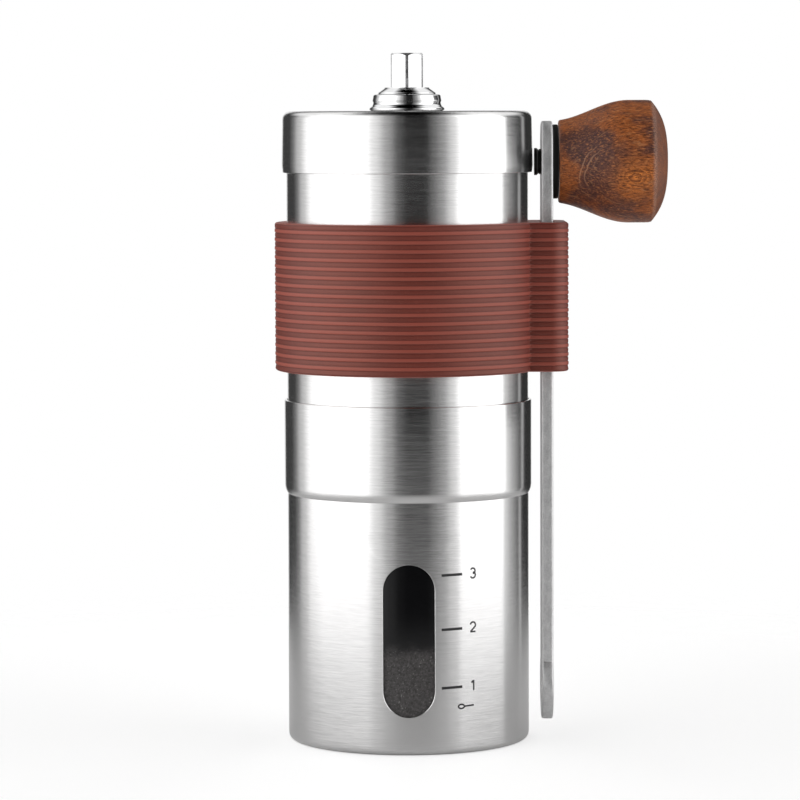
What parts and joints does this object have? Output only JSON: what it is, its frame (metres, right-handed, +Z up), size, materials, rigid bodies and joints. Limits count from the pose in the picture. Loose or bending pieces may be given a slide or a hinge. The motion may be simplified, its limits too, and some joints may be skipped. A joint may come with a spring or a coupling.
{
  "type": "hand crank coffee grinder",
  "caption": "Slim steel hand coffee grinder with a windowed catch cup, conical ceramic burrs, a ribbed silicone sleeve and a stowed crank with a wooden knob.",
  "frame": {"origin": "centre of the cup's flat foot, on the surface it stands on", "axes": "+Z up along the drive shaft, -Y towards the window, +X towards the stowed crank"},
  "size_m": [0.0763, 0.0516, 0.1338],
  "materials": {
    "brushed_body": "brushed round the body",
    "hub_chrome": "polished",
    "arm_steel": "satin, blanked sheet",
    "shaft_steel": "turned and polished",
    "fastener_steel": "plain",
    "black_steel": "blackened",
    "silicone": "matt, ribbed",
    "stained_wood": "stained, satin lacquer",
    "smoked_plastic": "smoked, dull with coffee dust inside",
    "white_plastic": "moulded",
    "black_plastic": "moulded",
    "ceramic": "sintered, unglazed",
    "brass": "turned"
  },
  "bodies": {
    "cup": {"cup_shell": "brushed_body", "cup_liner": "smoked_plastic"},
    "housing": {"housing_tube": "brushed_body", "grip_sleeve": "silicone", "burr_housing": "white_plastic", "shaft_bushing": "brass", "outer_burr": "ceramic", "clamp_ring": "black_plastic", "clamp_screws": "fastener_steel"},
    "lid": {"lid_cap": "brushed_body", "lid_plug": "black_plastic", "lid_hub": "hub_chrome", "lid_hub_nut": "fastener_steel", "lid_bushing": "white_plastic"},
    "drive": {"drive_shaft": "shaft_steel", "shaft_circlip": "black_steel", "circlip_washer": "fastener_steel", "spring_washer": "fastener_steel"},
    "burr_carrier": {"burr_spring": "fastener_steel", "inner_burr": "ceramic", "burr_core": "black_plastic"},
    "adjuster": {"adjuster_knob": "black_plastic", "adjuster_insert": "brass"},
    "crank": {"crank_arm": "arm_steel", "knob_washer": "black_plastic", "screw_washer": "black_steel"},
    "knob": {"crank_knob": "stained_wood", "knob_insert": "brass", "knob_screw": "black_steel"}
  },
  "joints": [
    {"name": "housing_lift", "type": "slide", "parent": "cup", "child": "housing", "axis": [0, 0, 1], "range_m": [0, 0.04]},
    {"name": "lid_lift", "type": "slide", "parent": "housing", "child": "lid", "axis": [0, 0, 1], "range_m": [0, 0.026]},
    {"name": "crank_draw", "type": "slide", "parent": "housing", "child": "crank", "axis": [0, 0, 1], "range_m": [-0.0025, 0.1]},
    {"name": "knob_spin", "type": "hinge", "parent": "crank", "child": "knob", "pos_m": [0.0294, 0, 0.1127], "axis": [1, 0, 0], "continuous": true},
    {"name": "shaft_spin", "type": "hinge", "parent": "housing", "child": "drive", "pos_m": [0, 0, 0.1], "axis": [0, 0, 1], "continuous": true},
    {"name": "burr_adjust", "type": "slide", "parent": "drive", "child": "burr_carrier", "axis": [0, 0, 1], "range_m": [-0.0008, 0.0004], "deforming": ["burr_spring"]},
    {"name": "adjuster_turn", "type": "hinge", "parent": "burr_carrier", "child": "adjuster", "pos_m": [0, 0, 0.042], "axis": [0, 0, 1], "range_deg": [-360, 180]}
  ],
  "couplings": [
    {"joint": "adjuster_turn", "follows": "burr_adjust", "rad_per_m": 7854}
  ]
}
